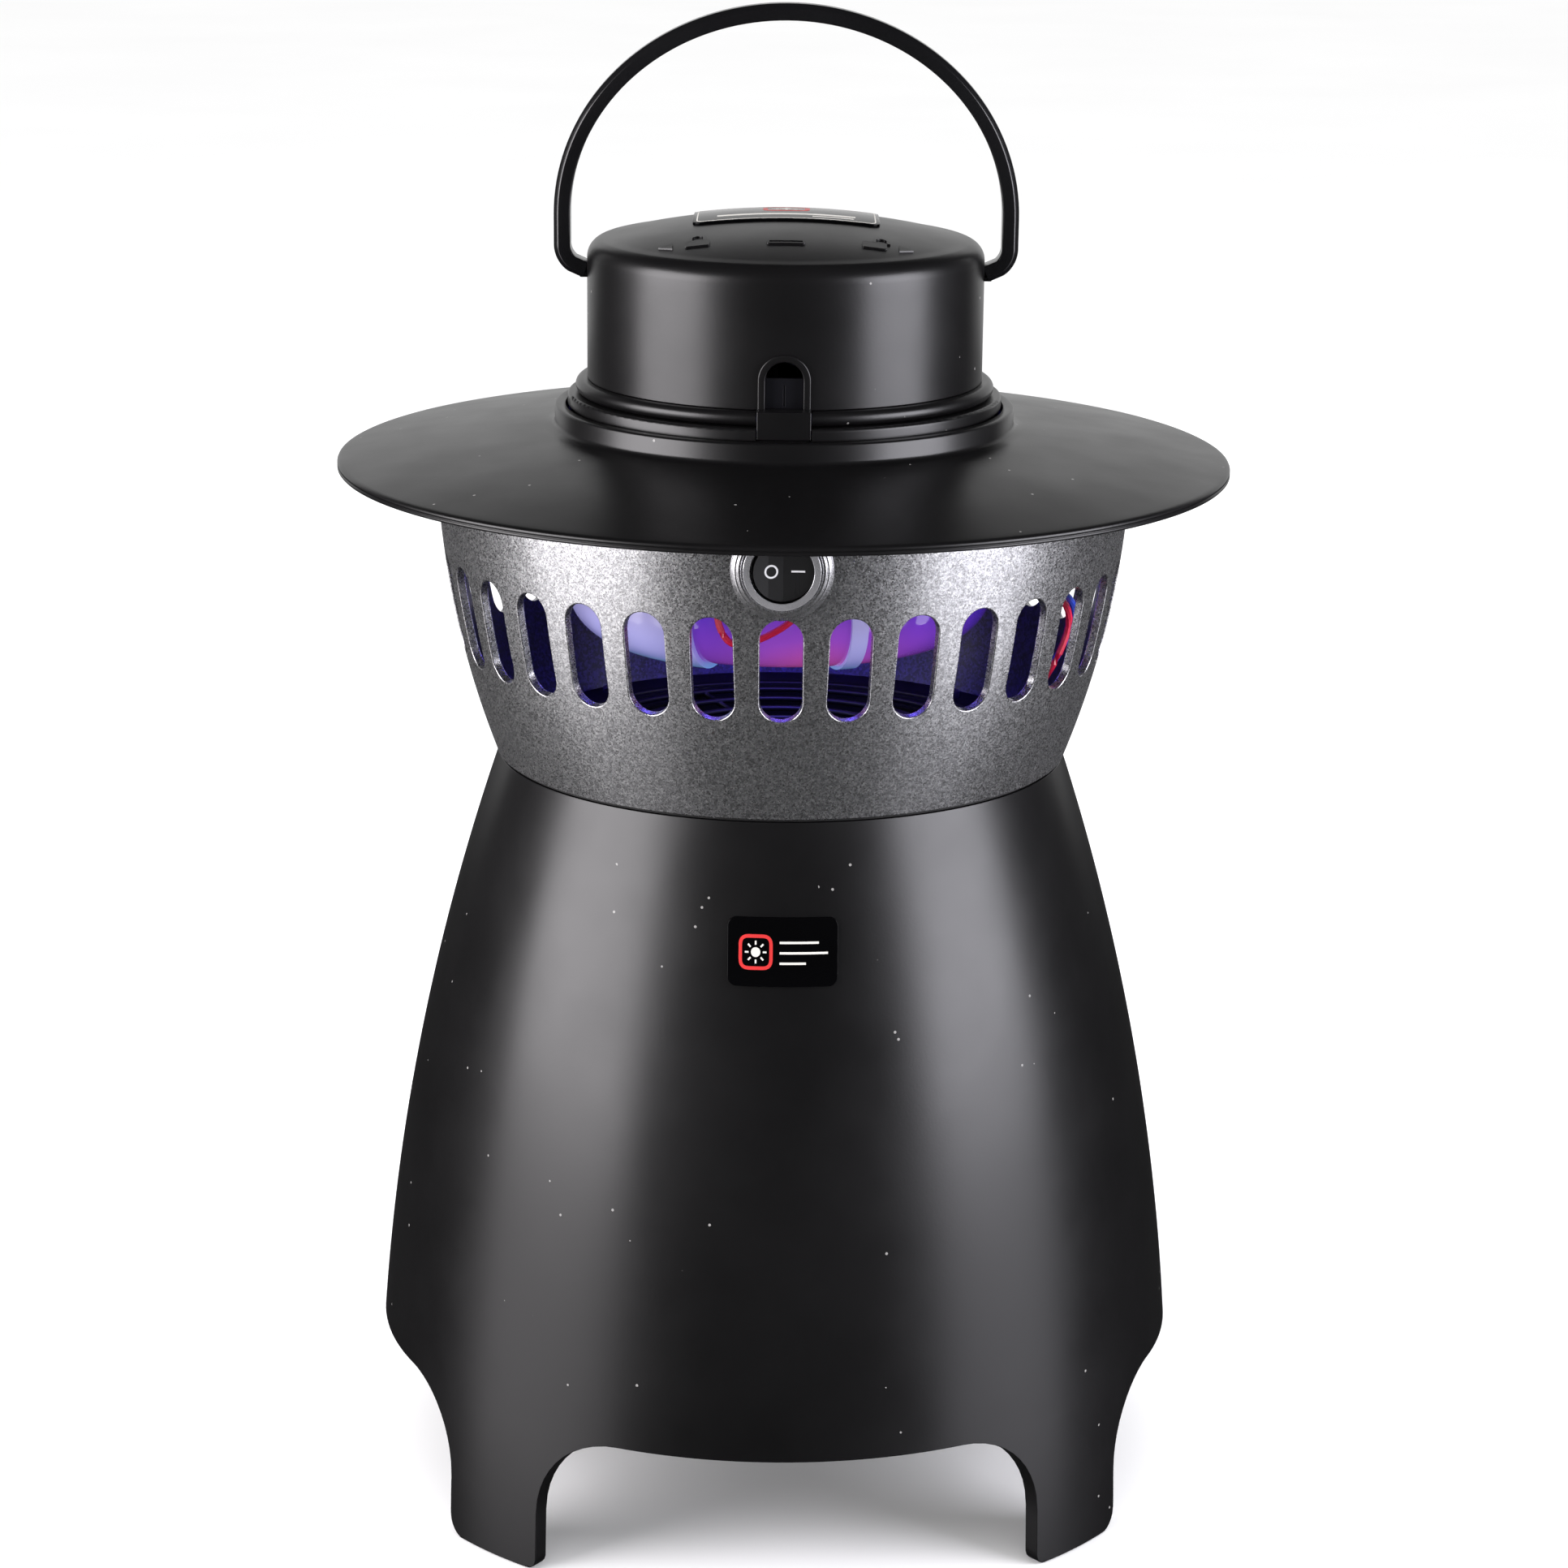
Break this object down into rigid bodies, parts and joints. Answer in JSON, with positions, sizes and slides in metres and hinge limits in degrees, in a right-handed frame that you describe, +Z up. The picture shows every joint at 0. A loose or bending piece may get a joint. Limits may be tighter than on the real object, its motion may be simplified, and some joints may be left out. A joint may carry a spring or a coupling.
{
  "type": "insect trap",
  "caption": "Lantern-shaped electric insect trap: ring UV lamp in a slotted cage, suction fan, one-way shutter, catch tray, rain brim, twist-off cap and carrying bail.",
  "frame": {"origin": "on the ground under the vertical axis of the trap", "axes": "+Z up along the axis of the trap; the switch, badge and cord entry face -Y; the bail stands in the XZ plane"},
  "size_m": [0.2614, 0.2614, 0.4413],
  "materials": {
    "black_plastic": "satin fine-grained black moulding",
    "gloss_black": "glossy black moulding",
    "cage_paint": "metallic grey paint with fine sparkle",
    "switch_ring": "clear silvery sealing ring",
    "switch_black": "fine matt black",
    "dark_plastic": "plain black moulding",
    "flap_plastic": "thin dark grey moulding",
    "seal_rubber": "soft black seal",
    "steel": "zinc-plated steel",
    "motor_can": "drawn steel can",
    "bronze": "sintered bronze",
    "brass": "plain brass",
    "red_wire": "red wire insulation",
    "black_wire": "black wire insulation",
    "blue_wire": "blue wire insulation",
    "white_wire": "white wire insulation",
    "white_plastic": "white heat-resistant moulding",
    "lamp_glass": "coated ultraviolet lamp glass, glowing violet",
    "circuit_board": "green circuit board",
    "transformer": "dark ferrite core",
    "capacitor": "sleeved capacitor cans"
  },
  "bodies": {
    "housing": {"base_shell": "black_plastic", "badge": "gloss_black", "neck_gasket": "seal_rubber", "cage_ring": "cage_paint", "brim": "black_plastic", "brim_screws": "steel", "switch_boot": "switch_ring", "switch_body": "switch_black", "switch_nut": "switch_black", "switch_terminals": "brass", "fan_frame": "dark_plastic", "fan_screws": "steel", "fan_motor": "motor_can", "motor_bushes": "bronze", "inlet_guard": "dark_plastic", "shutter_frame": "dark_plastic", "shutter_rod": "steel", "flap_springs": "steel", "switch_lead_red": "red_wire", "switch_lead_black": "black_wire", "motor_lead_red": "red_wire", "motor_lead_blue": "blue_wire", "lead_connector": "white_plastic"},
    "rocker": {"rocker": "switch_black"},
    "fan_rotor": {"impeller": "dark_plastic", "motor_shaft": "steel"},
    "flap_left": {"shutter_flap_left": "flap_plastic"},
    "flap_right": {"shutter_flap_right": "flap_plastic"},
    "tray": {"catch_tray": "dark_plastic", "tray_mesh": "dark_plastic"},
    "cap": {"top_cap": "black_plastic", "cap_base": "black_plastic", "cap_screws": "steel", "cap_label": "gloss_black", "cord_entry_insert": "dark_plastic", "lamp_reflector": "white_plastic", "uv_lamp": "lamp_glass", "lamp_connector": "white_plastic", "lamp_pins": "brass", "lamp_socket": "white_plastic", "lamp_clips": "steel", "lamp_leads": "white_wire", "supply_leads": "blue_wire", "ballast_board": "circuit_board", "ballast_transformer": "transformer", "ballast_capacitors": "capacitor", "terminal_block": "white_plastic", "ballast_screws": "steel"},
    "bail": {"handle": "gloss_black"}
  },
  "joints": [
    {"name": "cap_twist", "type": "hinge", "parent": "housing", "child": "cap", "pos_m": [0, 0, 0.3261], "axis": [0, 0, 1], "range_deg": [0, 25]},
    {"name": "bail_swing", "type": "hinge", "parent": "cap", "child": "bail", "pos_m": [0, 0, 0.3646], "axis": [1, 0, 0], "range_deg": [-110, 110]},
    {"name": "rocker_press", "type": "hinge", "parent": "housing", "child": "rocker", "pos_m": [0, -0.1008, 0.2979], "axis": [0, 0, 1], "range_deg": [-14, 0]},
    {"name": "fan_spin", "type": "hinge", "parent": "housing", "child": "fan_rotor", "pos_m": [0, 0, 0.1926], "axis": [0, 0, 1], "continuous": true},
    {"name": "flap_left_open", "type": "hinge", "parent": "housing", "child": "flap_left", "pos_m": [0, 0, 0.1526], "axis": [0, -1, 0], "range_deg": [0, 78], "stiffness_Nm_per_rad": 0.004, "springref_deg": -57.3},
    {"name": "flap_right_open", "type": "hinge", "parent": "housing", "child": "flap_right", "pos_m": [0, 0, 0.1526], "axis": [0, 1, 0], "range_deg": [0, 78], "stiffness_Nm_per_rad": 0.004, "springref_deg": -57.3},
    {"name": "tray_twist", "type": "hinge", "parent": "housing", "child": "tray", "pos_m": [0, 0, 0.048], "axis": [0, 0, 1], "range_deg": [0, 24]}
  ]
}
